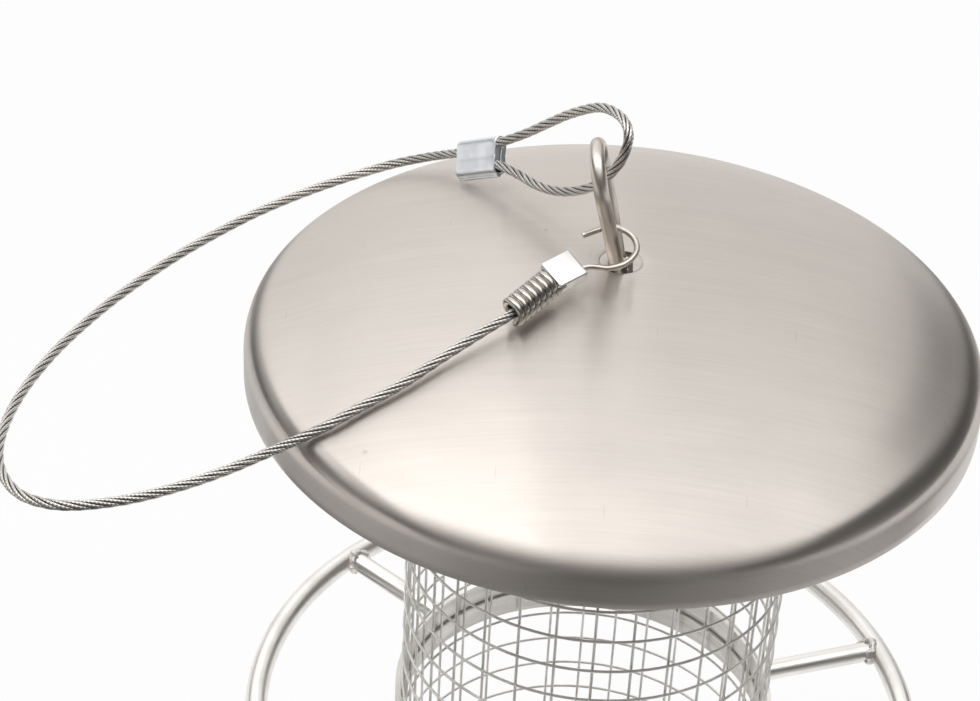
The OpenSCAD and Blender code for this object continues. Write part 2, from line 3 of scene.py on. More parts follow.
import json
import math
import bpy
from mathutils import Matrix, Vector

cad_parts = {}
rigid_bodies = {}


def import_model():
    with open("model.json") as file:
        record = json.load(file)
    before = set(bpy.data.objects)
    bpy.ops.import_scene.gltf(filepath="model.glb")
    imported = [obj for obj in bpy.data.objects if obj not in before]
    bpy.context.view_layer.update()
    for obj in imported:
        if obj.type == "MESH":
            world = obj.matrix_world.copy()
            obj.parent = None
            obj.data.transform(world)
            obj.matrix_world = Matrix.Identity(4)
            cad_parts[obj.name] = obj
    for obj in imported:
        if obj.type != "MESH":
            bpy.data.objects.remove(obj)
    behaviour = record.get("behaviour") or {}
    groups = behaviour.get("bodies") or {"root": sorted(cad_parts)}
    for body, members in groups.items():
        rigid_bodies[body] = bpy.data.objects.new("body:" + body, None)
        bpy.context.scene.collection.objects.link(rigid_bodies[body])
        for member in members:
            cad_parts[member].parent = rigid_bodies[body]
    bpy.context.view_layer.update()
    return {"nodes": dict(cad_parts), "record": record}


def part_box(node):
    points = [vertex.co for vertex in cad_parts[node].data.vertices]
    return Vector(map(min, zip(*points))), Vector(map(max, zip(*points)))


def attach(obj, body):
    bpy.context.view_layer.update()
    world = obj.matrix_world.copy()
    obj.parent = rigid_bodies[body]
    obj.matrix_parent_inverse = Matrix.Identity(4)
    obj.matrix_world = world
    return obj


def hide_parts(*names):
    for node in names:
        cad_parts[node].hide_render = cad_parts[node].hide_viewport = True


bl_info = {
    "name": "Tube Bird Feeder",
    "version": (1, 0, 0),
    "blender": (4, 5, 0),
    "location": "View3D > Sidebar > Feeder",
    "description": "Models the feeder's lid, rope, crimps and hook, finishes its steel and sets the studio",
    "category": "Add Mesh",
}

import bpy
import numpy as np
from mathutils import Matrix, Vector

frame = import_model()
NODES = frame["nodes"]
MM = 0.001

# Heights in the routes count from the lid's lower edge
LID_LOW, LID_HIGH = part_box("lid_shell")
LID_Z = LID_LOW.z


def linear(code):
    """A hex colour as linear red, green, blue and alpha."""
    parts = [int(code[i : i + 2], 16) / 255 for i in (0, 2, 4)]
    return (*(c / 12.92 if c <= 0.04045 else ((c + 0.055) / 1.055) ** 2.4 for c in parts), 1.0)


def length_size(label, about, millimetres):
    """A length property with its default in millimetres."""
    return bpy.props.FloatProperty(
        name=label, description=about, default=millimetres * MM, min=0, precision=5, unit="LENGTH"
    )


def colour(label, about, code):
    """A colour property with its default as a hex colour."""
    return bpy.props.FloatVectorProperty(
        name=label, description=about, default=linear(code), size=4, min=0, max=1, subtype="COLOR"
    )


class FeederLidSizes(bpy.types.PropertyGroup):
    """Sizes of the domed lid."""

    rise: length_size("Rise", "Height of the crown above the lid's lower edge", 26.5)
    skirt: length_size("Skirt", "Height of the straight skirt", 5.5)
    corner: length_size("Corner", "Radius above the skirt", 5.5)
    shoulder: length_size("Shoulder", "Radius between the corner and the dome", 12)
    sheet: length_size("Sheet", "Thickness of the pressed sheet", 1)
    hole: length_size("Hole", "Diameter of the hole in the crown", 8.46)
    edge: length_size("Edge", "Width of the softened edges", 0.06)
    dimple: length_size("Dimple", "Width of the turned-in edge of the hole", 1.1)
    sink: length_size("Sink", "Depth of the turned-in edge of the hole", 0.3)
    groove: length_size("Groove", "Depth of the soft groove where the dome meets the shoulder", 0.22)
    groove_at: length_size("Groove radius", "Radius of the groove's lowest line", 70.4)
    steps: bpy.props.IntProperty(name="Steps", description="Steps round the lid", default=240, min=24)


class FeederRopeSizes(bpy.types.PropertyGroup):
    """Sizes of the wire rope, its crimps and its hook."""

    rope: length_size("Rope", "Diameter of the wire rope", 2)
    lay: length_size("Lay", "Length in which a strand goes once round the rope", 16.8)
    strands: bpy.props.IntProperty(name="Strands", description="Strands round the core", default=6, min=3)
    sleeve_long: length_size("Sleeve length", "Length of the loop's crimp sleeve", 14.5)
    sleeve_wide: length_size("Sleeve width", "Width of the loop's crimp sleeve", 8.4)
    sleeve_thick: length_size("Sleeve thickness", "Thickness of the loop's crimp sleeve", 3.1)
    crimp_long: length_size("Crimp length", "Length of the hook's crimp", 6.8)
    crimp_wide: length_size("Crimp width", "Width of the hook's crimp", 6.6)
    crimp_thick: length_size("Crimp thickness", "Thickness of the hook's crimp", 2.9)
    hook_wire: length_size("Hook wire", "Thickness of the hook's wire", 1.2)
    coil_wire: length_size("Coil wire", "Thickness of the coil's wire", 1.5)
    coil_wide: length_size("Coil width", "Outside diameter of the coil", 6.2)
    coil_pitch: length_size("Coil pitch", "Rise of the coil in one turn", 1.54)
    coil_turns: bpy.props.IntProperty(name="Coil turns", description="Turns of the coil", default=7, min=1)


class FeederColours(bpy.types.PropertyGroup):
    """Colours of the feeder's metals and of the studio."""

    lid: colour("Lid", "Brushed stainless sheet of the lid", "c5beb7")
    wire: colour("Mesh wire", "Bright drawn wire of the mesh", "f2f0ec")
    rod: colour("Perch rod", "Polished stainless rod of the perch", "f0ede8")
    band: colour("Band", "Satin stainless sheet of the bands and the cup", "e8e5e0")
    weld: colour("Weld", "Cleaned weld beads", "e8e4df")
    rivet: colour("Rivet", "Satin aluminium rivets and washers", "d6d6d6")
    inner: colour("Inner sheet", "Plain stainless sheet under the lid", "bcb8b2")
    bush: colour("Bush", "Turned brass of the bush", "c9a25a")
    stem: colour("Stem", "Turned stainless of the hanger", "c2bcb4")
    ring: colour("Ring", "Satin stainless wire of the ring and the hook", "cec6bd")
    rope: colour("Rope", "Bare steel strands of the rope", "d2cec8")
    # Painted shade: the dark colour painted into the grooves between the rope's strands
    groove: colour("Rope groove", "Dark grooves between the strands", "3c3834")
    sleeve: colour("Sleeve", "Pressed aluminium of the loop's sleeve", "e8eaee")
    crimp: colour("Crimp", "Bright aluminium of the hook's crimp", "ececec")
    coil: colour("Coil", "Bright spring wire of the coil", "c6c1ba")
    floor: colour("Floor", "Pale studio floor", "f4f4f4")


# Route of the rope from the sleeve to the hook's crimp, in metres above the lid's lower edge
ROPE_ROUTE = [
    (-0.0342, 0.0408, 0.0249), (-0.0381, 0.0457, 0.0212), (-0.0432, 0.0505, 0.0171),
    (-0.0520, 0.0537, 0.0123), (-0.0656, 0.0481, 0.0094), (-0.0784, 0.0385, 0.0077),
    (-0.0897, 0.0263, 0.0065), (-0.0971, 0.0159, 0.0060), (-0.1049, 0.0026, 0.0056),
    (-0.1114, -0.0117, 0.0052), (-0.1153, -0.0235, 0.0047), (-0.1172, -0.0343, 0.0045),
    (-0.1173, -0.0443, 0.0044), (-0.1154, -0.0522, 0.0042), (-0.1111, -0.0583, 0.0040),
    (-0.1051, -0.0616, 0.0045), (-0.0985, -0.0620, 0.0049), (-0.0897, -0.0599, 0.0054),
    (-0.0807, -0.0563, 0.0064), (-0.0726, -0.0520, 0.0075), (-0.0651, -0.0467, 0.0084),
    (-0.0589, -0.0451, 0.0113), (-0.0542, -0.0439, 0.01355), (-0.0500, -0.0419, 0.01555),
    (-0.0411, -0.0373, 0.0193), (-0.0325, -0.0312, 0.0230), (-0.0244, -0.0260, 0.0266),
    (-0.0206, -0.0233, 0.0280), (-0.0170, -0.0190, 0.0292), (-0.0133, -0.0148, 0.0304),
]
# Route of the loop, out of the sleeve, round the ring's far limb and back
LOOP_ROUTE = [
    (-0.0265, 0.0325, 0.0327), (-0.0213, 0.0280, 0.0378), (-0.0159, 0.0229, 0.0440),
    (-0.0119, 0.0191, 0.0485), (-0.0068, 0.0139, 0.0533), (-0.0036, 0.0097, 0.0550),
    (-0.0014, 0.0055, 0.0554), (-0.0005, 0.0028, 0.0542), (-0.0006, 0.0016, 0.0522),
    (-0.0016, 0.0015, 0.0488), (-0.0031, 0.0019, 0.0458), (-0.0047, 0.0029, 0.0434),
    (-0.0066, 0.0045, 0.0407), (-0.0097, 0.0076, 0.0375), (-0.0135, 0.0122, 0.0343),
    (-0.0176, 0.0178, 0.0319), (-0.0222, 0.0246, 0.0304), (-0.0264, 0.0297, 0.0292),
]
# Route of the hook's wire, from the crimp's corner round the ring's near limb
HOOK_ROUTE = [
    (-0.0081, -0.0116, 0.0315), (-0.0064, -0.0111, 0.0318), (-0.0046, -0.0111, 0.0318),
    (-0.0027, -0.0112, 0.0318), (0.0002, -0.0101, 0.0322), (0.0022, -0.0080, 0.0330),
    (0.0027, -0.0057, 0.0338), (0.0016, -0.0034, 0.0347), (-0.0008, -0.0018, 0.0352),
    (-0.0028, -0.0016, 0.0353), (-0.0048, -0.0023, 0.0350), (-0.0081, -0.0041, 0.0344),
]
# Middle of the sleeve and of the face where the rope enters the crimp, with roll, climb and turn
SLEEVE_PLACE, SLEEVE_ANGLES = (-0.03007, 0.03553, 0.02703), (66.5, 30.5, -48.3)
CRIMP_PLACE, CRIMP_ANGLES = (-0.01337, -0.01479, 0.03043), (16, 12, 49.2)
# Distance within which two places count as one
NEAR = 1e-6
# Angles up to which blocks and tubes are shaded smooth, and from which an edge is bevelled
SMOOTH_BLOCK, SMOOTH_TUBE, BEVEL_FROM = math.radians(35), math.radians(50), math.radians(60)
# Points in each stretch of a route before they are evened out
ROUTE_POINTS = 24
# A direction that no route starts along, from which the first side direction is taken
ASLANT = (0.3, 0.2, 1.0)
# Sides of the bent wires, of the rope's core and of its strands
WIRE_SIDES, CORE_SIDES, STRAND_SIDES = 20, 8, 10


def place(point, angles):
    """Matrix of a piece on the rope: rolled, raised and turned, then moved above the lid's edge."""
    roll, climb, turn = (math.radians(a) for a in angles)
    turned = Matrix.Rotation(turn, 4, "Z") @ Matrix.Rotation(-climb, 4, "Y") @ Matrix.Rotation(roll, 4, "X")
    return Matrix.Translation(Vector(point) + Vector((0, 0, LID_Z))) @ turned


def distances(line):
    """How far along a line each of its points is."""
    return np.concatenate([[0], np.cumsum(np.linalg.norm(np.diff(line, axis=0), axis=1))])


def smooth_route(points, step):
    """A smooth curve through the points, with points about a step apart."""
    p = np.array(points) + (0, 0, LID_Z)
    p = np.vstack([2 * p[0] - p[1], p, 2 * p[-1] - p[-2]])
    t = np.linspace(0, 1, ROUTE_POINTS, endpoint=False)[:, None]
    fine = []
    for a, b, c, d in zip(p, p[1:], p[2:], p[3:]):
        bend = (2 * a - 5 * b + 4 * c - d) * t**2 + (3 * b - a - 3 * c + d) * t**3
        fine.append(0.5 * (2 * b + (c - a) * t + bend))
    fine = np.vstack([*fine, p[-2]])
    along = distances(fine)
    at = np.linspace(0, along[-1], max(2, round(along[-1] / step) + 1))
    return np.stack([np.interp(at, along, fine[:, k]) for k in range(3)], axis=1)


def directions(line):
    """Unit directions along a line of points."""
    d = np.gradient(line, axis=0)
    return d / np.linalg.norm(d, axis=1)[:, None]


def carried_sides(line):
    """A side direction at each point of a line, carried along without twisting, and its partner."""
    ways = directions(line)
    side = np.cross(ways[0], ASLANT)
    sides = []
    for way in ways:
        side = side - way * (side @ way)
        side = side / np.linalg.norm(side)
        sides.append(side)
    sides = np.array(sides)
    return sides, np.cross(ways, sides)


def tube_parts(line, radius, sides, out=None):
    """Points, faces and face UVs of a closed tube along a line. U goes round and V goes along in metres."""
    if out is None:
        out, across = carried_sides(line)
    else:
        across = np.cross(directions(line), out)
    radii = np.broadcast_to(radius, len(line))[:, None, None]
    turn = np.linspace(0, 2 * math.pi, sides, endpoint=False)[None, :, None]
    rings = line[:, None] + radii * (np.cos(turn) * out[:, None] + np.sin(turn) * across[:, None])
    count = len(line)
    i, k = np.meshgrid(np.arange(count - 1), np.arange(sides), indexing="ij")
    i, k = i.ravel(), k.ravel()
    after = (k + 1) % sides
    walls = np.stack([i * sides + k, i * sides + after, (i + 1) * sides + after, (i + 1) * sides + k], axis=1)
    along = distances(line)
    u = np.stack([k, k + 1, k + 1, k], axis=1) / sides
    v = np.stack([along[i], along[i], along[i + 1], along[i + 1]], axis=1)
    caps = [np.arange(sides)[::-1].tolist(), (np.arange(sides) + (count - 1) * sides).tolist()]
    flat = [[(0.5, along[0])] * sides, [(0.5, along[-1])] * sides]
    faces = walls.tolist() + caps
    maps = np.stack([u, v], axis=2).tolist() + flat
    return rings.reshape(-1, 3), faces, maps


def mesh_piece(name, parts):
    """A new smooth mesh piece from one or more tubes, with their UV map."""
    points, faces, maps, base = [], [], [], 0
    for p, f, m in parts:
        points.append(p)
        faces += [[base + n for n in face] for face in f]
        maps += m
        base += len(p)
    mesh = bpy.data.meshes.new(name)
    mesh.from_pydata(np.vstack(points).tolist(), [], faces)
    layer = mesh.uv_layers.new(name="Round and along")
    layer.data.foreach_set("uv", np.array([c for face in maps for c in face], np.float32).ravel())
    mesh.update()
    piece = bpy.data.objects.new(name, mesh)
    bpy.context.collection.objects.link(piece)
    only(piece)
    bpy.ops.object.shade_smooth_by_angle(angle=SMOOTH_TUBE)
    return piece


def only(piece=None):
    """Deselects everything, then selects and activates one piece."""
    for o in bpy.context.view_layer.objects:
        o.select_set(False)
    bpy.context.view_layer.objects.active = piece
    if piece:
        piece.select_set(True)


def new_piece(name, primitive, **settings):
    """Adds a primitive as a new piece, in edit mode with all of it selected."""
    only()
    primitive(**settings)
    piece = bpy.context.object
    piece.name = piece.data.name = name
    bpy.ops.object.mode_set(mode="EDIT")
    return piece


def pick(piece, kind, test):
    """In edit mode, selects the vertices or faces whose middle passes the test, and nothing else."""
    bpy.ops.object.mode_set(mode="OBJECT")
    mesh = piece.data
    for group in (mesh.vertices, mesh.edges, mesh.polygons):
        group.foreach_set("select", np.zeros(len(group), bool))
    for item in getattr(mesh, kind):
        item.select = test(item.co if kind == "vertices" else item.center)
    bpy.ops.object.mode_set(mode="EDIT")
    bpy.ops.mesh.select_mode(type="VERT" if kind == "vertices" else "FACE")


def pull_faces(x, y, z):
    """In edit mode, extrudes the selected faces and moves them."""
    bpy.ops.mesh.extrude_region_move(TRANSFORM_OT_translate={"value": (x, y, z)})


def pull_edges(rise):
    """In edit mode, extrudes the selected edges and raises them."""
    bpy.ops.mesh.extrude_edges_move(TRANSFORM_OT_translate={"value": (0, 0, rise)})


def soften_edges(piece, width, segments):
    """Bevels the sharp edges of a piece."""
    apply_modifier(
        piece, "BEVEL", width=width, segments=segments, limit_method="ANGLE", angle_limit=BEVEL_FROM
    )


def apply_modifier(piece, kind, **settings):
    """Leaves edit mode, adds a modifier to the piece and applies it."""
    bpy.ops.object.mode_set(mode="OBJECT")
    only(piece)
    made = piece.modifiers.new(kind.title(), kind)
    for key, value in settings.items():
        setattr(made, key, value)
    bpy.ops.object.modifier_apply(modifier=made.name)


def apply_place(piece):
    """Leaves edit mode and puts the piece's place, turn and scale into its mesh."""
    bpy.ops.object.mode_set(mode="OBJECT")
    only(piece)
    bpy.ops.object.transform_apply(location=True, rotation=True, scale=True)


def settle(piece, matrix=None):
    """Leaves edit mode, moves the mesh to its place and shades it smooth."""
    bpy.ops.object.mode_set(mode="OBJECT")
    if matrix is not None:
        piece.data.transform(matrix)
        piece.data.update()
    apply_place(piece)
    bpy.ops.object.shade_smooth_by_angle(angle=SMOOTH_BLOCK)


def finish_piece(piece, body, slot, material, *stands_for):
    """Gives a piece its material and body, and hides the CAD nodes that it stands for. The slot is not used.
    """
    piece.data.materials.clear()
    piece.data.materials.append(material)
    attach(piece, body)
    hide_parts(*stands_for)


def fresh_tree(owner):
    """The emptied node tree of a material or of the world."""
    owner.use_nodes = True
    owner.node_tree.nodes.clear()
    return owner.node_tree


def feed(tree, node, inputs):
    """Sets a node's inputs to values, or links them to sockets or to other nodes' first outputs in use."""
    for key, value in inputs.items():
        if isinstance(value, bpy.types.Node):
            value = next(output for output in value.outputs if output.enabled)
        if isinstance(value, bpy.types.NodeSocket):
            tree.links.new(value, node.inputs[key])
        else:
            node.inputs[key].default_value = value


def add(tree, kind, inputs=None, **settings):
    """Adds a shader node with its settings and its inputs."""
    made = tree.nodes.new("ShaderNode" + kind)
    for key, value in settings.items():
        setattr(made, key, value)
    feed(tree, made, inputs or {})
    return made


def start_metal(name, base, roughness, **inputs):
    """A new metal: the material, its tree, its shader and the Object coordinates."""
    made = bpy.data.materials.new(name)
    tree = fresh_tree(made)
    values = {"Base Color": base, "Metallic": 1.0, "Roughness": roughness, **inputs}
    shader = add(tree, "BsdfPrincipled", values)
    add(tree, "OutputMaterial", {"Surface": shader})
    return made, tree, shader, add(tree, "TexCoord").outputs["Object"]


def tints():
    """The colours that the sidebar holds."""
    return bpy.context.scene.feeder_colours


# The range that most of a noise lies in, and the settings of a node that multiplies colours
NOISE_RANGE = {"From Min": 0.3, "From Max": 0.7}
TIMES = {"data_type": "RGBA", "blend_type": "MULTIPLY"}


def brushed_stainless_sheet():
    """Stainless sheet brushed in straight lines, then pressed."""
    # Gives the eye fine streaks along X, reflections smeared across them, faint smudges, specks and scratches
    made, tree, shader, place_of = start_metal("Brushed stainless sheet", tints().lid, 0.31, Anisotropic=0.96)
    flat = add(tree, "UVMap", uv_map="Flat sheet")
    across = add(tree, "Tangent", direction_type="UV_MAP", uv_map="Flat sheet")
    # Brush lines are about 0.1 mm apart on such sheet, and drawn 0.5 mm apart so that they show
    lines = add(tree, "Mapping", {"Vector": flat, "Scale": (1 / 0.0005, 1 / 0.028, 1)})
    streaks = add(tree, "TexNoise", {"Vector": lines, "Scale": 1.0, "Detail": 4.0, "Roughness": 0.65})
    # Wider bands where the belt bit deeper, about 5 mm wide and 60 mm long
    bands = add(tree, "Mapping", {"Vector": flat, "Scale": (1 / 0.005, 1 / 0.060, 1)})
    bands = add(tree, "TexNoise", {"Vector": bands, "Scale": 1.0, "Detail": 2.0})
    both = add(tree, "Math", {0: bands, 1: 0.4, 2: streaks}, operation="MULTIPLY_ADD")
    tone = {"Value": both, "From Min": 0.45, "From Max": 0.95, "To Min": 0.945, "To Max": 1.045}
    tone = add(tree, "MapRange", tone)
    # Dark specks up to about 1 mm across, a few over the lid
    specks = add(tree, "TexVoronoi", {"Vector": place_of, "Scale": 1 / 0.014}, feature="F1")
    speck = {"Value": specks, "From Min": 0.025, "From Max": 0.045, "To Min": 0.82, "To Max": 1.0}
    speck = add(tree, "MapRange", speck)
    # Scratches across the brush lines, about 3 mm long and 0.2 mm wide, some twenty over the lid
    spread = {"Vector": flat, "Rotation": (0, 0, 0.9), "Scale": (1 / 0.110, 1 / 0.008, 1)}
    marks = {"Vector": add(tree, "Mapping", spread), "Scale": 1.0}
    marks = add(tree, "TexVoronoi", marks, feature="F1", voronoi_dimensions="2D")
    mark = {"Value": marks, "From Min": 0.008, "From Max": 0.018, "To Min": 0.88, "To Max": 1.0}
    mark = add(tree, "MapRange", mark)
    worn = add(tree, "Math", {0: speck, 1: mark}, operation="MULTIPLY")
    tone = add(tree, "Math", {0: tone, 1: worn}, operation="MULTIPLY")
    # Handling smudges about 30 mm across change the gloss, and dull the tone a little
    smudges = add(tree, "TexNoise", {"Vector": place_of, "Scale": 1 / 0.030, "Detail": 3.0})
    smudge = {"Value": smudges, **NOISE_RANGE}
    dull = add(tree, "MapRange", {**smudge, "To Min": 1.03, "To Max": 0.97})
    rough = add(tree, "MapRange", {**smudge, "To Min": 0.285, "To Max": 0.33})
    tone = add(tree, "Math", {0: tone, 1: dull}, operation="MULTIPLY")
    shade = add(tree, "Mix", {"Factor": 1.0, "A": tints().lid, "B": tone}, **TIMES)
    bump = add(tree, "Bump", {"Height": streaks, "Strength": 0.08, "Distance": 0.00005})
    feed(tree, shader, {"Base Color": shade, "Roughness": rough, "Normal": bump, "Tangent": across})
    return made


# How a metal's noise is stretched: not at all, to level lines on a rolled strip, or to level tool lines
EVEN, ROLLED, TOOLED = (1, 1, 1), (30, 30, 1), (40, 40, 1)
# The plain metals, each with what it gives the eye: colour, roughness, spread of tone, size of the noise
# in metres, its stretch and its depth as bump
METALS = {
    # Drawn through a die: a soft pale sheen with small duller patches about 6 mm across
    "Drawn stainless wire": ("wire", 0.60, 0.08, 0.006, EVEN, 0),
    # Polished and bent: broad soft highlights with faint handling haze, in patches about 12 mm across
    "Polished stainless rod": ("rod", 0.36, 0.08, 0.012, EVEN, 0),
    # Rolled round the tube: soft reflections and fine level lines, drawn 0.6 mm apart so that they show
    "Satin stainless sheet": ("band", 0.42, 0.10, 0.0006, ROLLED, 0),
    # Wire brushed after welding: a lumpy dull bead with a faint warm tint and ripples about 0.8 mm apart
    "Cleaned stainless weld": ("weld", 0.48, 0.18, 0.0008, EVEN, 0.0001),
    # Tumbled rivets and washers: an even pale satin with small dents, drawn 0.8 mm across
    "Satin aluminium": ("rivet", 0.36, 0.10, 0.0008, EVEN, 0.00003),
    # As it leaves the mill: a dull even grey with cloudy patches about 8 mm across
    "Mill stainless sheet": ("inner", 0.40, 0.12, 0.008, EVEN, 0),
    # Turned on a lathe: yellow metal with level tool lines, drawn 0.3 mm apart so that they show
    "Turned brass": ("bush", 0.28, 0.15, 0.0003, TOOLED, 0.00001),
    # Turned on a lathe: grey metal with level tool lines, drawn 0.3 mm apart so that they show
    "Turned stainless": ("stem", 0.36, 0.14, 0.0003, TOOLED, 0.00001),
    # Bent into the ring and the hook: warm smooth highlights with faint dull patches about 4 mm across
    "Satin stainless wire": ("ring", 0.345, 0.10, 0.004, EVEN, 0),
    # Pressed flat in a tool: a bluish pale satin with soft cloudy patches about 3 mm across
    "Pressed aluminium": ("sleeve", 0.36, 0.06, 0.003, EVEN, 0),
    # Tumbled bright: a nearly white metal with faint scuffs about 2 mm across
    "Bright aluminium": ("crimp", 0.36, 0.05, 0.002, EVEN, 0),
    # Drawn bright and coiled: clear highlights on each turn, with faint dull patches about 2 mm across
    "Bright spring wire": ("coil", 0.20, 0.10, 0.002, EVEN, 0),
}
# Shares of a metal's roughness where its noise is low and where it is high, and the strength of its bump
DULLER, GLOSSIER, DENTS = 1.25, 0.8, 0.5
# The metal of each material slot whose CAD nodes keep their shape
FINISHES = {
    "mesh_wire": "Drawn stainless wire",
    "perch_rod": "Polished stainless rod",
    "band_sheet": "Satin stainless sheet",
    "rivet": "Satin aluminium",
    "inner_sheet": "Mill stainless sheet",
    "bush": "Turned brass",
    "stem": "Turned stainless",
    "ring_wire": "Satin stainless wire",
}


def mottled_metal(name):
    """One of the plain metals, whose tone and gloss vary together in a noise."""
    tint, roughness, spread, cell, stretch, depth = METALS[name]
    tint = getattr(tints(), tint)
    made, tree, shader, place_of = start_metal(name, tint, roughness)
    scale = tuple(1 / (cell * s) for s in stretch)
    grain = add(tree, "Mapping", {"Vector": place_of, "Scale": scale})
    grain = add(tree, "TexNoise", {"Vector": grain, "Scale": 1.0, "Detail": 3.0})
    noise = {"Value": grain, **NOISE_RANGE}
    tone = add(tree, "MapRange", {**noise, "To Min": 1 - spread, "To Max": 1 + spread / 2})
    shade = add(tree, "Mix", {"Factor": 1.0, "A": tint, "B": tone}, **TIMES)
    rough = add(tree, "MapRange", {**noise, "To Min": roughness * DULLER, "To Max": roughness * GLOSSIER})
    feed(tree, shader, {"Base Color": shade, "Roughness": rough})
    if depth:
        bump = add(tree, "Bump", {"Height": grain, "Strength": DENTS, "Distance": depth})
        feed(tree, shader, {"Normal": bump})
    return made


def twisted_steel_rope():
    """Bare steel wires laid into strands, and the strands into a rope."""
    # Gives the eye bright slanting strands with painted shade in the grooves between them, and fine wires on
    # each strand with painted shade between the wires and a painted highlight on their crowns
    made, tree, shader, place_of = start_metal("Twisted steel rope", tints().rope, 0.30)
    parts = add(tree, "SeparateXYZ", {"Vector": add(tree, "UVMap")})
    # From 0 on the strand's outer side to 0.5 on its inner side
    inward = add(tree, "Math", {0: parts.outputs["X"], 1: 0.5}, operation="PINGPONG")
    # Painted shade: near its inner side, where it meets its neighbours, each strand is mixed towards the dark
    # groove colour
    groove = {"Value": inward, "From Min": 0.12, "From Max": 0.27}
    groove = add(tree, "MapRange", groove, interpolation_type="SMOOTHSTEP")
    # Six outer wires of about 0.2 mm on a strand, once round it in 6 mm, against the rope's lay. Their tone
    # is painted shade between the wires and a painted highlight on their crowns
    along = add(tree, "Math", {0: parts.outputs["Y"], 1: -1 / 0.006}, operation="MULTIPLY")
    turn = add(tree, "Math", {0: parts.outputs["X"], 1: along}, operation="ADD")
    wires = add(tree, "Math", {0: turn, 1: 6 * 2 * math.pi}, operation="MULTIPLY")
    wires = add(tree, "Math", {0: wires}, operation="SINE")
    tone = {"Value": wires, "From Min": -1.0, "From Max": 1.0, "To Min": 0.80, "To Max": 1.08}
    tone = add(tree, "MapRange", tone)
    # Dirt in patches about 4 mm across
    dirt = add(tree, "TexNoise", {"Vector": place_of, "Scale": 1 / 0.004, "Detail": 2.0})
    worn = add(tree, "MapRange", {"Value": dirt, **NOISE_RANGE, "To Min": 0.85, "To Max": 1.08})
    tone = add(tree, "Math", {0: tone, 1: worn}, operation="MULTIPLY")
    shade = add(tree, "Mix", {"Factor": 1.0, "A": tints().rope, "B": tone}, **TIMES)
    # The painted groove shade goes over the strands' tone
    shade = add(tree, "Mix", {"Factor": groove, "A": shade, "B": tints().groove}, data_type="RGBA")
    bump = add(tree, "Bump", {"Height": wires, "Strength": 0.4, "Distance": 0.00004})
    feed(tree, shader, {"Base Color": shade, "Normal": bump})
    return made


# The camera: sensor and lens in millimetres, near limit, turn round the tube, rise, roll, aim and distance
CAMERA_SENSOR, CAMERA_LENS, CAMERA_NEAR = 36, 92.69, 0.01
CAMERA_TURN, CAMERA_RISE, CAMERA_ROLL = math.radians(1.2), math.radians(35.22), math.radians(3.06)
CAMERA_AIM, CAMERA_AWAY = (-0.025204, 0, 0.182753), 0.51913
# The floor: steps round it, radius, width of its outer ring and share of plain white as it is seen
FLOOR_STEPS, FLOOR_RADIUS, FLOOR_RING, FLOOR_WHITE = 96, 4, 3, 0.94
# The world's light on all that isn't the camera or metal
WORLD_FILL = 0.5
# Softboxes: name, place, aim, size and radiance
SOFTBOXES = (
    ("Overhead_softbox", (0.0, -0.12, 1.1), (0.0, -0.12, 0.2), (1.9, 0.7), 1.16),
    ("Left_softbox", (-0.55, -0.1, 1.09), (-0.55, -0.1, 0.2), (0.8, 0.6), 0.78),
    ("Back_softbox", (-0.45, 1.1, 1.2), (0.0, 0.0, 0.2), (1.2, 0.8), 0.36),
    ("Side_softbox", (-0.9, 0.36, 0.9), (0.0, 0.0, 0.2), (0.6, 0.22), 1.0),
)
# Dark flags round the feeder: name, start and end in degrees from the camera's side, lower edge, upper edge
# and the height from which they fade to white
FLAGS = (
    ("Front_flag", -55, 55, 0.0, 1.75, 1.2),
    ("Left_flag", -110, -55, 0.3, 1.32, 0.92),
    ("Left_back_flag", -145, -110, 0.2, 0.75, 0.42),
    ("Right_flag", 55, 125, 0.15, 2.2, 1.6),
    ("Right_back_flag", 125, 150, 0.15, 1.3, 0.6),
)
# Distance of the flags, steps round them, tone of their cloth, and the floor card's place, inner edge, reach
# in degrees and fade
FLAG_AWAY, FLAG_STEPS, CLOTH_TONE = 1.6, 72, 0.12
CARD_PLACE, CARD_INNER, CARD_REACH, CARD_FADE = (0.06, 0.0, 0.002), 0.18, 110, (0.15, 0.55)
WHITE = (1, 1, 1, 1)


def stage_camera(scene):
    """The camera at the photograph's angle, for a frame of 980 by 701."""
    camera = bpy.data.objects.new("Studio_camera", bpy.data.cameras.new("Studio_camera"))
    camera.data.sensor_fit, camera.data.sensor_width = "HORIZONTAL", CAMERA_SENSOR
    camera.data.lens, camera.data.clip_start = CAMERA_LENS, CAMERA_NEAR
    camera.matrix_world = (
        Matrix.Rotation(CAMERA_TURN, 4, "Z")
        @ Matrix.Translation(CAMERA_AIM)
        @ Matrix.Rotation(math.pi / 2 - CAMERA_RISE, 4, "X")
        @ Matrix.Rotation(CAMERA_ROLL, 4, "Z")
        @ Matrix.Translation((0, 0, CAMERA_AWAY))
    )
    scene.collection.objects.link(camera)
    scene.camera = camera


def seen_directly(tree):
    """A value that is 1 for rays from the camera and from metal, and 0 for all others."""
    rays = add(tree, "LightPath").outputs
    return add(tree, "Math", {0: rays["Is Camera Ray"], 1: rays["Is Glossy Ray"]}, operation="MAXIMUM")


def stage_floor():
    """A round pale floor that shows white to the camera and to metal, and keeps a faint shadow."""
    floor = new_piece(
        "Studio_floor", bpy.ops.mesh.primitive_circle_add,
        vertices=FLOOR_STEPS, radius=FLOOR_RADIUS, fill_type="NGON",
    )
    bpy.ops.mesh.inset(thickness=FLOOR_RING, depth=0)
    bpy.ops.object.mode_set(mode="OBJECT")
    made = bpy.data.materials.new("Matt paper")
    tree = fresh_tree(made)
    paper = add(tree, "BsdfDiffuse", {"Color": tints().floor})
    white = add(tree, "Emission", {"Color": WHITE, "Strength": 1.0})
    share = add(tree, "Math", {0: seen_directly(tree), 1: FLOOR_WHITE}, operation="MULTIPLY")
    both = add(tree, "MixShader", {0: share, 1: paper, 2: white})
    add(tree, "OutputMaterial", {"Surface": both})
    floor.data.materials.append(made)


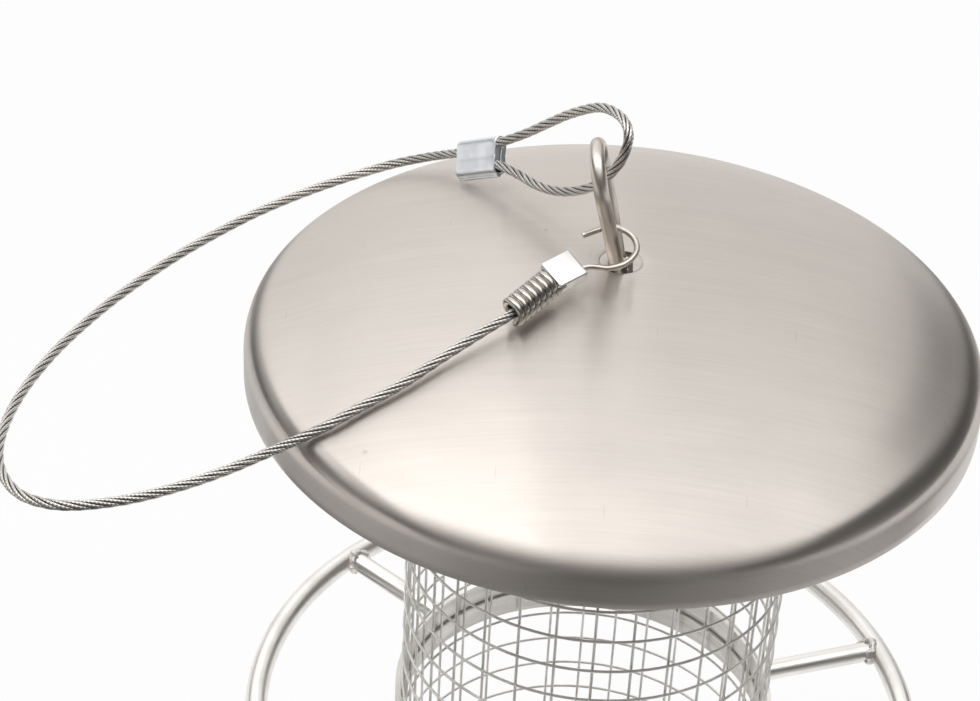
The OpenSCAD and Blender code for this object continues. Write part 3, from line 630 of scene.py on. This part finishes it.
def trim_ring(ring, start, end):
    """Keeps of a ring only the faces between two angles from the camera's side, and leaves edit mode."""
    pick(ring, "polygons", lambda co: not start <= math.degrees(math.atan2(co.x, -co.y)) <= end)
    bpy.ops.mesh.delete(type="FACE")
    bpy.ops.object.mode_set(mode="OBJECT")


def dark_cloth(card, axis, start, end):
    """Makes a stage piece of dark cloth that only metal shows, paler along an axis from start to end."""
    made = bpy.data.materials.new(card.name)
    tree = fresh_tree(made)
    parts = add(tree, "SeparateXYZ", {"Vector": add(tree, "TexCoord").outputs["Object"]})
    away = add(tree, "Math", {0: parts.outputs[axis]}, operation="ABSOLUTE")
    tone = {"Value": away, "From Min": start, "From Max": end, "To Min": CLOTH_TONE, "To Max": 1.0}
    tone = add(tree, "MapRange", tone, interpolation_type="SMOOTHSTEP")
    glow = add(tree, "Emission", {"Color": WHITE, "Strength": tone})
    add(tree, "OutputMaterial", {"Surface": glow})
    card.data.materials.append(made)
    card.visible_camera = card.visible_diffuse = card.visible_shadow = False
    card.visible_transmission = card.visible_volume_scatter = False


def stage_lights():
    """Soft area lights, and dark flags and a dark floor card that only metal shows."""
    for name, at, aim, size, radiance in SOFTBOXES:
        lamp = bpy.data.lights.new(name, "AREA")
        lamp.shape, lamp.size, lamp.size_y = "RECTANGLE", *size
        lamp.energy = math.pi * size[0] * size[1] * radiance
        box = bpy.data.objects.new(name, lamp)
        box.location = at
        box.rotation_euler = (Vector(aim) - Vector(at)).to_track_quat("-Z", "Y").to_euler()
        box.visible_camera = False
        bpy.context.scene.collection.objects.link(box)
    circle = bpy.ops.mesh.primitive_circle_add
    for name, start, end, low, high, fade in FLAGS:
        flag = new_piece(name, circle, vertices=FLAG_STEPS, radius=FLAG_AWAY, location=(0, 0, low))
        pull_edges(high - low)
        trim_ring(flag, start, end)
        dark_cloth(flag, "Z", fade - low, high - low)
    card = new_piece("Floor_card", circle, vertices=FLAG_STEPS, radius=FLAG_AWAY, location=CARD_PLACE)
    pull_edges(0)
    inner = CARD_INNER / FLAG_AWAY
    bpy.ops.transform.resize(value=(inner, inner, 1), center_override=CARD_PLACE)
    trim_ring(card, -CARD_REACH, CARD_REACH)
    dark_cloth(card, "X", *CARD_FADE)


def stage_world(scene):
    """White surroundings for the camera and for metal, and plain fill light for the rest."""
    world = scene.world or bpy.data.worlds.new("Studio")
    scene.world = world
    tree = fresh_tree(world)
    strength = add(tree, "MapRange", {"Value": seen_directly(tree), "To Min": WORLD_FILL, "To Max": 1.0})
    sky = add(tree, "Background", {"Color": WHITE, "Strength": strength})
    add(tree, "OutputWorld", {"Surface": sky})


class FEEDER_OT_stage(bpy.types.Operator):
    """Set the camera, the floor, the soft lights, the dark flags and the floor card of the studio"""

    bl_idname = "feeder.stage"
    bl_label = "Studio"

    def execute(self, context):
        scene = context.scene
        scene.view_settings.view_transform = "Standard"
        stage_camera(scene)
        stage_floor()
        stage_lights()
        stage_world(scene)
        return {"FINISHED"}


# Steps of the lid's skirt, corner, shoulder, foot of the dome, dome and turned-in edge
SKIRT_STEPS, CORNER_STEPS, SHOULDER_STEPS, FOOT_STEPS, DOME_STEPS, DIMPLE_STEPS = 3, 8, 8, 12, 26, 4
# How far the groove in the lid reaches to its inner and its outer side
GROOVE_IN, GROOVE_OUT = 11 * MM, 3.4 * MM


def sheet_map(piece, corner_height):
    """UV map of the flat sheet that the lid was pressed from: U across the brush lines and V along them."""
    mesh = piece.data
    co = np.empty(len(mesh.vertices) * 3, np.float32)
    mesh.vertices.foreach_get("co", co)
    co = co.reshape(-1, 3)
    radius = np.maximum(np.hypot(co[:, 0], co[:, 1]), NEAR)
    flat = radius + np.maximum(corner_height - co[:, 2], 0)
    uv = np.stack([co[:, 1], -co[:, 0]], axis=1) * (flat / radius)[:, None]
    corner = np.empty(len(mesh.loops), np.int32)
    mesh.loops.foreach_get("vertex_index", corner)
    layer = mesh.uv_layers.new(name="Flat sheet")
    layer.data.foreach_set("uv", uv[corner].astype(np.float32).ravel())


class FEEDER_OT_lid(bpy.types.Operator):
    """Model the domed lid from a circle that is raised ring by ring, then given its sheet thickness"""

    bl_idname = "feeder.lid"
    bl_label = "Domed Lid"

    def execute(self, context):
        sizes = context.scene.feeder_lid
        radius = LID_HIGH.x
        # Arcs run into each other: the corner up to half way, the shoulder, and the dome in two stretches
        half = math.pi / 4
        level = radius - sizes.corner
        mid_x = level + (sizes.corner - sizes.shoulder) * math.cos(half)
        mid_z = sizes.skirt + (sizes.corner - sizes.shoulder) * math.sin(half)
        drop = sizes.rise - mid_z
        dome = (mid_x**2 + drop**2 - sizes.shoulder**2) / (2 * (drop - sizes.shoulder))
        low = math.atan2(dome - drop, mid_x)
        high = math.acos((sizes.hole / 2 + sizes.dimple) / dome)
        foot = math.acos((sizes.groove_at - GROOVE_IN - GROOVE_OUT) / dome)
        arcs = (
            (level, sizes.skirt, sizes.corner, 0, half, CORNER_STEPS),
            (mid_x, mid_z, sizes.shoulder, half, low, SHOULDER_STEPS),
            (0, sizes.rise - dome, dome, low, foot, FOOT_STEPS),
            (0, sizes.rise - dome, dome, foot, high, DOME_STEPS),
        )
        profile = [(radius, sizes.skirt * k / SKIRT_STEPS) for k in range(1, SKIRT_STEPS + 1)]
        for across, up, bend, start, end, steps in arcs:
            for a in np.linspace(start, end, steps + 1)[1:]:
                wide = across + bend * math.cos(a)
                # The soft groove where the dome meets the shoulder
                away = (wide - sizes.groove_at) / (GROOVE_OUT if wide > sizes.groove_at else GROOVE_IN)
                dip = sizes.groove * math.cos(min(abs(away), 1) * math.pi / 2) ** 2
                profile.append((wide, up + bend * math.sin(a) - dip))
        # The edge of the hole turns in to the hanger
        for k in range(1, DIMPLE_STEPS + 1):
            share = k / DIMPLE_STEPS
            wide = sizes.hole / 2 + sizes.dimple * (1 - share)
            up = sizes.rise - dome + math.sqrt(dome**2 - wide**2) - sizes.sink * share**2
            profile.append((wide, up))
        lid = new_piece(
            "domed_lid", bpy.ops.mesh.primitive_circle_add,
            vertices=sizes.steps, radius=radius, location=(0, 0, LID_Z),
        )
        here, height = radius, 0.0
        for wide, up in profile:
            pull_edges(up - height)
            if wide != here:
                share = wide / here
                bpy.ops.transform.resize(value=(share, share, 1), center_override=(0, 0, LID_Z + up))
            here, height = wide, up
        bpy.ops.mesh.select_all(action="SELECT")
        bpy.ops.mesh.normals_make_consistent(inside=False)
        apply_modifier(lid, "SOLIDIFY", thickness=sizes.sheet, offset=-1, use_even_offset=True)
        soften_edges(lid, sizes.edge, segments=2)
        settle(lid)
        sheet_map(lid, LID_Z + sizes.skirt + sizes.corner / 2)
        finish_piece(lid, "lid", "lid_sheet", brushed_stainless_sheet(), "lid_shell")
        return {"FINISHED"}


# The sleeve: steps round its ends, cuts in its flats and steps along it
SLEEVE_STEPS, SLEEVE_CUTS, SLEEVE_LENGTHS = 40, 5, 8
# Its waist, as shares of the thickness that are left within shares of the flat's half width
SLEEVE_WAIST = ((0.93, 0.08), (0.98, 0.2), (0.985, 0.5))
# How far past the flats the cuts reach, as a share of half the thickness, and the width of the softened edges
FLAT_PAST, SLEEVE_EDGE = 0.2, 0.18 * MM
# Its wall, the slit between the bores as shares of height and width, the bores' depth and a small slack
SLEEVE_WALL, SLIT_HIGH, SLIT_WIDE, BORE_DEEP, BORE_SLACK = 0.55 * MM, 0.15, 0.75, 4.5 * MM, 0.01 * MM
# Distance from the sleeve's axis that only the face of the bores lies within
MIDDLE_FACE = 0.3 * MM
# The lip: how far it stands out, the strip of the edge that it starts from, and its half length as a share
LIP_OUT, LIP_STRIP, LIP_LONG = 0.4 * MM, 0.06 * MM, 0.47


class FEEDER_OT_sleeve(bpy.types.Operator):
    """Model the loop's crimp sleeve: an oval block with a pressed waist and lip, and two bores at each end"""

    bl_idname = "feeder.sleeve"
    bl_label = "Loop Sleeve"

    def execute(self, context):
        sizes = context.scene.feeder_rope
        half_thick = sizes.sleeve_thick / 2
        reach = sizes.sleeve_wide / 2 - half_thick
        sleeve = new_piece(
            "loop_sleeve_pressed", bpy.ops.mesh.primitive_circle_add,
            vertices=SLEEVE_STEPS, radius=half_thick, rotation=(0, math.pi / 2, 0),
        )
        apply_place(sleeve)
        bpy.ops.object.mode_set(mode="EDIT")
        # The oval: both halves of the circle move apart, and the flats get points for the waist
        for way in (-1, 1):
            pick(sleeve, "vertices", lambda co: co.y * way > NEAR)
            bpy.ops.transform.translate(value=(0, way * reach, 0))
        pick(sleeve, "vertices", lambda co: abs(co.y) < reach + half_thick * FLAT_PAST)
        bpy.ops.mesh.subdivide(number_cuts=SLEEVE_CUTS)
        for share, width in SLEEVE_WAIST:
            pick(sleeve, "vertices", lambda co: abs(co.y) < reach * width)
            bpy.ops.transform.resize(value=(1, 1, share), center_override=(0, 0, 0))
        pick(sleeve, "vertices", lambda co: True)
        bpy.ops.mesh.edge_face_add()
        bpy.ops.transform.translate(value=(-sizes.sleeve_long / 2, 0, 0))
        for _ in range(SLEEVE_LENGTHS):
            pull_faces(sizes.sleeve_long / SLEEVE_LENGTHS, 0, 0)
        bpy.ops.mesh.select_all(action="SELECT")
        bpy.ops.mesh.normals_make_consistent(inside=False)
        # Each end is hollow: two bores for the rope with a narrow slit between them
        inner = half_thick - SLEEVE_WALL + BORE_SLACK
        for end in (-sizes.sleeve_long / 2, sizes.sleeve_long / 2):
            at_end = lambda co: abs(co.x - end) < NEAR
            slit = lambda co: at_end(co) and abs(co.y) < reach * SLIT_WIDE and abs(co.z) < inner
            pick(sleeve, "polygons", at_end)
            bpy.ops.mesh.inset(thickness=SLEEVE_WALL, depth=0)
            pick(sleeve, "vertices", slit)
            bpy.ops.transform.resize(value=(1, 1, SLIT_HIGH), center_override=(end, 0, 0))
            pick(sleeve, "polygons", lambda co: at_end(co) and math.hypot(co.y, co.z) < MIDDLE_FACE)
            pull_faces(math.copysign(BORE_DEEP, -end), 0, 0)
        # The lip that the press squeezed out along the lower edge
        low, half_lip = -sizes.sleeve_wide / 2 + LIP_STRIP, sizes.sleeve_long * LIP_LONG
        pick(sleeve, "polygons", lambda co: co.y < low and abs(co.x) < half_lip)
        pull_faces(0, -LIP_OUT, 0)
        soften_edges(sleeve, SLEEVE_EDGE, segments=3)
        settle(sleeve, place(SLEEVE_PLACE, SLEEVE_ANGLES))
        finish_piece(sleeve, "ring", "crimp", mottled_metal("Pressed aluminium"), "loop_sleeve")
        return {"FINISHED"}


# The crimp: half of its length in the CAD model, and how far it turns on the hook's line
CRIMP_HALF, CRIMP_TURN = 3.1 * MM, math.radians(-11)
# Its soft edges, with their segments and profile, and the rim and depth of its open ends
CRIMP_EDGE, CRIMP_SEGMENTS, CRIMP_ROUND, CRIMP_RIM, CRIMP_HOLLOW = 0.5 * MM, 4, 0.6, 0.35 * MM, 0.8 * MM
# Its seam's half width and depth, and the share of the thickness below which a face is on the underside
SEAM_HALF, SEAM_DEEP, UNDERSIDE = 0.15 * MM, 0.3 * MM, 0.49


class FEEDER_OT_crimp(bpy.types.Operator):
    """Model the hook's crimp: a folded block with soft edges, a seam and open ends"""

    bl_idname = "feeder.crimp"
    bl_label = "Hook Crimp"

    def execute(self, context):
        sizes = context.scene.feeder_rope
        size = (sizes.crimp_long, sizes.crimp_wide, sizes.crimp_thick)
        crimp = new_piece("hook_crimp_folded", bpy.ops.mesh.primitive_cube_add, size=1)
        bpy.ops.transform.resize(value=size, center_override=(0, 0, 0))
        bpy.ops.transform.translate(value=(sizes.crimp_long / 2, 0, 0))
        bpy.ops.mesh.bevel(offset=CRIMP_EDGE, segments=CRIMP_SEGMENTS, profile=CRIMP_ROUND)
        # Open ends: a rim of sheet round a shallow hollow
        for end, into in ((0, CRIMP_HOLLOW), (sizes.crimp_long, -CRIMP_HOLLOW)):
            pick(crimp, "polygons", lambda co: abs(co.x - end) < NEAR)
            bpy.ops.mesh.inset(thickness=CRIMP_RIM, depth=0)
            pull_faces(into, 0, 0)
        # The seam where the folded sheet's two edges meet, along the underside
        under = lambda co: co.z < -sizes.crimp_thick * UNDERSIDE
        for side in (SEAM_HALF, -SEAM_HALF):
            pick(crimp, "polygons", under)
            bpy.ops.mesh.bisect(plane_co=(0, side, 0), plane_no=(0, 1, 0))
        pick(crimp, "polygons", lambda co: under(co) and abs(co.y) < SEAM_HALF)
        pull_faces(0, 0, SEAM_DEEP)
        back = Matrix.Translation((-sizes.crimp_long / 2, 0, 0))
        turned = Matrix.Translation((CRIMP_HALF, 0, 0)) @ Matrix.Rotation(CRIMP_TURN, 4, "Z") @ back
        settle(crimp, place(CRIMP_PLACE, CRIMP_ANGLES) @ turned)
        finish_piece(crimp, "ring", "crimp", mottled_metal("Bright aluminium"), "hook_crimp")
        return {"FINISHED"}


# The coil: its offset from the rope, the turn where it meets the crimp and its loose end in turns
COIL_ASIDE, COIL_TURN, COIL_LOOSE = 0.1 * MM, math.pi, 0.16
# Points in a turn and more of them for the loose end
COIL_POINTS, LOOSE_POINTS = 40, 7
# Its tail: how far each step bends towards the crimp in degrees, length of a step and depth in the crimp
TAIL_BENDS, TAIL_STEP, TAIL_DEEP = (15, 35, 55, 75, 90, 90, 90, 90), 0.2 * MM, 0.6 * MM


class FEEDER_OT_coil(bpy.types.Operator):
    """Wind the spring coil round the rope, with a loose end below and a tail into the crimp"""

    bl_idname = "feeder.coil"
    bl_label = "Spring Coil"

    def execute(self, context):
        sizes = context.scene.feeder_rope
        radius = (sizes.coil_wide - sizes.coil_wire) / 2
        t = np.linspace(-COIL_LOOSE, sizes.coil_turns, sizes.coil_turns * COIL_POINTS + LOOSE_POINTS)
        turn = 2 * math.pi * t + COIL_TURN
        line = np.stack([sizes.coil_pitch * t, radius * np.cos(turn), -radius * np.sin(turn)], axis=1)
        last = line[-1] - line[-2]
        # The last stretch bends over into the crimp
        ahead, tail, point = np.array((1.0, 0, 0)), [], line[-1]
        side = last - ahead * last[0]
        side = side / np.linalg.norm(side)
        for a in np.radians(TAIL_BENDS):
            point = point + TAIL_STEP * (math.cos(a) * side + math.sin(a) * ahead)
            tail.append(point)
        line = np.vstack([line, tail])
        line[:, 0] -= line[-1, 0] - TAIL_DEEP
        line[:, 1] += COIL_ASIDE
        spot = np.array(place(CRIMP_PLACE, CRIMP_ANGLES))
        line = line @ spot[:3, :3].T + spot[:3, 3]
        coil = mesh_piece("hook_coil_wound", [tube_parts(line, sizes.coil_wire / 2, WIRE_SIDES)])
        finish_piece(coil, "ring", "coil_wire", mottled_metal("Bright spring wire"), "hook_coil")
        return {"FINISHED"}


# The hook: distance of its points, its stretch in the crimp with the points there, and share of its cut end
HOOK_STEP, HOOK_INSIDE, HOOK_CUT = 0.25 * MM, (3 * MM, 0.3 * MM, 10), 0.82


class FEEDER_OT_hook(bpy.types.Operator):
    """Bend the hook's wire from the crimp round the ring's near limb to its cut end"""

    bl_idname = "feeder.hook"
    bl_label = "Wire Hook"

    def execute(self, context):
        sizes = context.scene.feeder_rope
        line = smooth_route(HOOK_ROUTE, HOOK_STEP)
        into = np.array(place((0, 0, 0), CRIMP_ANGLES).to_3x3().col[0])
        line = np.vstack([line[0] - np.linspace(*HOOK_INSIDE)[:, None] * into, line])
        radius = np.full(len(line), sizes.hook_wire / 2)
        radius[-1] *= HOOK_CUT
        hook = mesh_piece("hook_wire_bent", [tube_parts(line, radius, WIRE_SIDES)])
        finish_piece(hook, "ring", "ring_wire", mottled_metal("Satin stainless wire"), "hook_wire")
        return {"FINISHED"}


# The rope: distance of its points, points run on into each fitting and rounds of easing
ROPE_STEP, ROPE_LEAD, ROPE_EASE = 0.5 * MM, 8, 6
# How far the core stays inside the strands' middles, as a share of a strand, and the strands' swell
CORE_INSIDE, STRAND_SWELL = 0.8, 1.06


def laid_rope(name, route, start_into, end_into, sizes):
    """A rope of strands laid round a core along a route, with both ends run on into their fittings."""
    line = smooth_route(route, ROPE_STEP)
    lead = np.arange(ROPE_LEAD, 0, -1)[:, None] * ROPE_STEP
    line = np.vstack([line[0] + lead * start_into, line, line[-1] + lead[::-1] * end_into])
    # The joins with the run-on ends are eased
    for _ in range(ROPE_EASE):
        line[1:-1] = (line[:-2] + 2 * line[1:-1] + line[2:]) / 4
    along = distances(line)
    out, across = carried_sides(line)
    strand = sizes.rope / 2 / (1 + 1 / math.sin(math.pi / sizes.strands))
    middle = sizes.rope / 2 - strand
    parts = [tube_parts(line, middle - strand * CORE_INSIDE, CORE_SIDES)]
    for k in range(sizes.strands):
        turn = (2 * math.pi * (along / sizes.lay + k / sizes.strands))[:, None]
        away = np.cos(turn) * out + np.sin(turn) * across
        parts.append(tube_parts(line + middle * away, strand * STRAND_SWELL, STRAND_SIDES, away))
    return mesh_piece(name, parts), line


class FEEDER_OT_rope(bpy.types.Operator):
    """Lay the rope and its loop as twisted strands on a core"""

    bl_idname = "feeder.rope"
    bl_label = "Wire Rope"

    def execute(self, context):
        sizes = context.scene.feeder_rope
        steel = twisted_steel_rope()
        into_sleeve = np.array(place((0, 0, 0), SLEEVE_ANGLES).to_3x3().col[0])
        into_crimp = np.array(place((0, 0, 0), CRIMP_ANGLES).to_3x3().col[0])
        rope, rope_line = laid_rope("hanger_rope_laid", ROPE_ROUTE, into_sleeve, into_crimp, sizes)
        loop, loop_line = laid_rope("rope_loop_laid", LOOP_ROUTE, -into_sleeve, -into_sleeve, sizes)
        finish_piece(rope, "ring", "rope", steel, "hanger_rope")
        finish_piece(loop, "ring", "rope", steel, "rope_loop")
        return {"FINISHED"}


# Turn of the perch's first arm, and how far a weld bead sits along the arm from the joint
ARM_TURN, WELD_SHIFT = math.radians(20.7), 0.5 * MM
# A bead's thickness, stretch along the arm, steps, sides, and the angle that tells its steps apart
WELD_THICK, WELD_STRETCH, WELD_STEPS, WELD_SIDES, WELD_NEAR = 0.8 * MM, 1.4, 36, 12, 0.01
# A bead's lumps and its ripples: height, number round the arm and start, which for ripples is by the metre
LUMP_HIGH, LUMPS, LUMP_START = 0.22, 5, 1.3
RIPPLE_HIGH, RIPPLES, RIPPLE_START = 0.16, 11, 90


class FEEDER_OT_welds(bpy.types.Operator):
    """Model the lumpy weld beads where the perch's arms meet its ring and the band"""

    bl_idname = "feeder.welds"
    bl_label = "Perch Welds"

    def execute(self, context):
        ring_low, ring_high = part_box("perch_ring")
        arm_low, arm_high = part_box("perch_arm_right")
        rod, arm = (ring_high.z - ring_low.z) / 2, (arm_high.z - arm_low.z) / 2
        ring, band = ring_high.x - rod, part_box("perch_band")[1].x
        level = (ring_high.z + ring_low.z) / 2
        # Where the arm's skin meets the ring's rod and the band, by the angle round the arm
        meets = (
            lambda a: ring - math.sqrt(rod**2 - (arm * math.sin(a)) ** 2) - WELD_SHIFT,
            lambda a: math.sqrt(band**2 - (arm * math.cos(a)) ** 2) + WELD_SHIFT,
        )
        beads = []
        for meet in meets:
            bead = new_piece(
                "perch_weld_beads", bpy.ops.mesh.primitive_torus_add, rotation=(0, math.pi / 2, 0),
                major_radius=arm, minor_radius=WELD_THICK,
                major_segments=WELD_STEPS, minor_segments=WELD_SIDES,
            )
            apply_place(bead)
            for k in range(WELD_STEPS):
                a = 2 * math.pi * k / WELD_STEPS
                off = lambda co: math.remainder(math.atan2(co.z, co.y) - a, 2 * math.pi)
                pick(bead, "vertices", lambda co: abs(off(co)) < WELD_NEAR)
                middle = (meet(a), arm * math.cos(a), arm * math.sin(a))
                bpy.ops.transform.translate(value=(middle[0], 0, 0))
                lump = 1 + LUMP_HIGH * math.sin(LUMPS * a + LUMP_START)
                lump += RIPPLE_HIGH * math.sin(RIPPLES * a + RIPPLE_START * middle[0])
                bpy.ops.transform.resize(value=(WELD_STRETCH * lump, lump, lump), center_override=middle)
            bpy.ops.object.mode_set(mode="OBJECT")
            beads.append(bead)
        only(beads[0])
        beads[1].select_set(True)
        bpy.ops.object.join()
        bpy.ops.object.mode_set(mode="EDIT")
        # The beads of the first arm are copied to the other two
        for turn in (120, 240):
            pick(beads[0], "vertices", lambda co: co.x > band / 2 and abs(co.y) < 2 * arm)
            bpy.ops.mesh.duplicate()
            bpy.ops.transform.rotate(value=math.radians(turn), orient_axis="Z", center_override=(0, 0, 0))
        settle(beads[0], Matrix.Translation((0, 0, level)) @ Matrix.Rotation(ARM_TURN, 4, "Z"))
        finish_piece(beads[0], "tube", "weld_bead", mottled_metal("Cleaned stainless weld"), "perch_welds")
        return {"FINISHED"}


class FEEDER_OT_finishes(bpy.types.Operator):
    """Give the CAD nodes that keep their shape their metal finishes"""

    bl_idname = "feeder.finishes"
    bl_label = "Metal Finishes"

    def execute(self, context):
        made = {slot: mottled_metal(name) for slot, name in FINISHES.items()}
        for row in frame["record"]["subparts"]:
            node = NODES[row["node"]]
            if not node.hide_render:
                node.data.materials.clear()
                node.data.materials.append(made[row["material_slot"]])
        return {"FINISHED"}


class FEEDER_PT_build(bpy.types.Panel):
    """Sidebar panel that lists the feeder's pieces, sizes and colours"""

    bl_idname = "FEEDER_PT_build"
    bl_label = "Tube Bird Feeder"
    bl_space_type = "VIEW_3D"
    bl_region_type = "UI"
    bl_category = "Feeder"

    def draw(self, context):
        for step in STEPS:
            self.layout.operator(step.bl_idname)
        for group in GROUPS:
            settings = getattr(context.scene, group)
            for key in settings.__annotations__:
                self.layout.prop(settings, key)


# Groups of sizes and colours by their name on the scene, and the operators in their order
GROUPS = {"feeder_lid": FeederLidSizes, "feeder_rope": FeederRopeSizes, "feeder_colours": FeederColours}
STEPS = (
    FEEDER_OT_stage, FEEDER_OT_lid, FEEDER_OT_sleeve, FEEDER_OT_crimp, FEEDER_OT_coil, FEEDER_OT_hook,
    FEEDER_OT_rope, FEEDER_OT_welds, FEEDER_OT_finishes,
)


def register():
    """Registers the groups, the operators and the panel."""
    for made in (*GROUPS.values(), *STEPS, FEEDER_PT_build):
        bpy.utils.register_class(made)
    for name, made in GROUPS.items():
        setattr(bpy.types.Scene, name, bpy.props.PointerProperty(type=made))


def unregister():
    """Takes them all off again."""
    for name in GROUPS:
        delattr(bpy.types.Scene, name)
    for made in (FEEDER_PT_build, *reversed(STEPS), *reversed(GROUPS.values())):
        bpy.utils.unregister_class(made)


def main():
    """Builds the feeder's looks."""
    register()
    bpy.ops.feeder.stage()
    bpy.ops.feeder.lid()
    bpy.ops.feeder.sleeve()
    bpy.ops.feeder.crimp()
    bpy.ops.feeder.coil()
    bpy.ops.feeder.hook()
    bpy.ops.feeder.rope()
    bpy.ops.feeder.welds()
    bpy.ops.feeder.finishes()


if __name__ == "__main__":
    main()
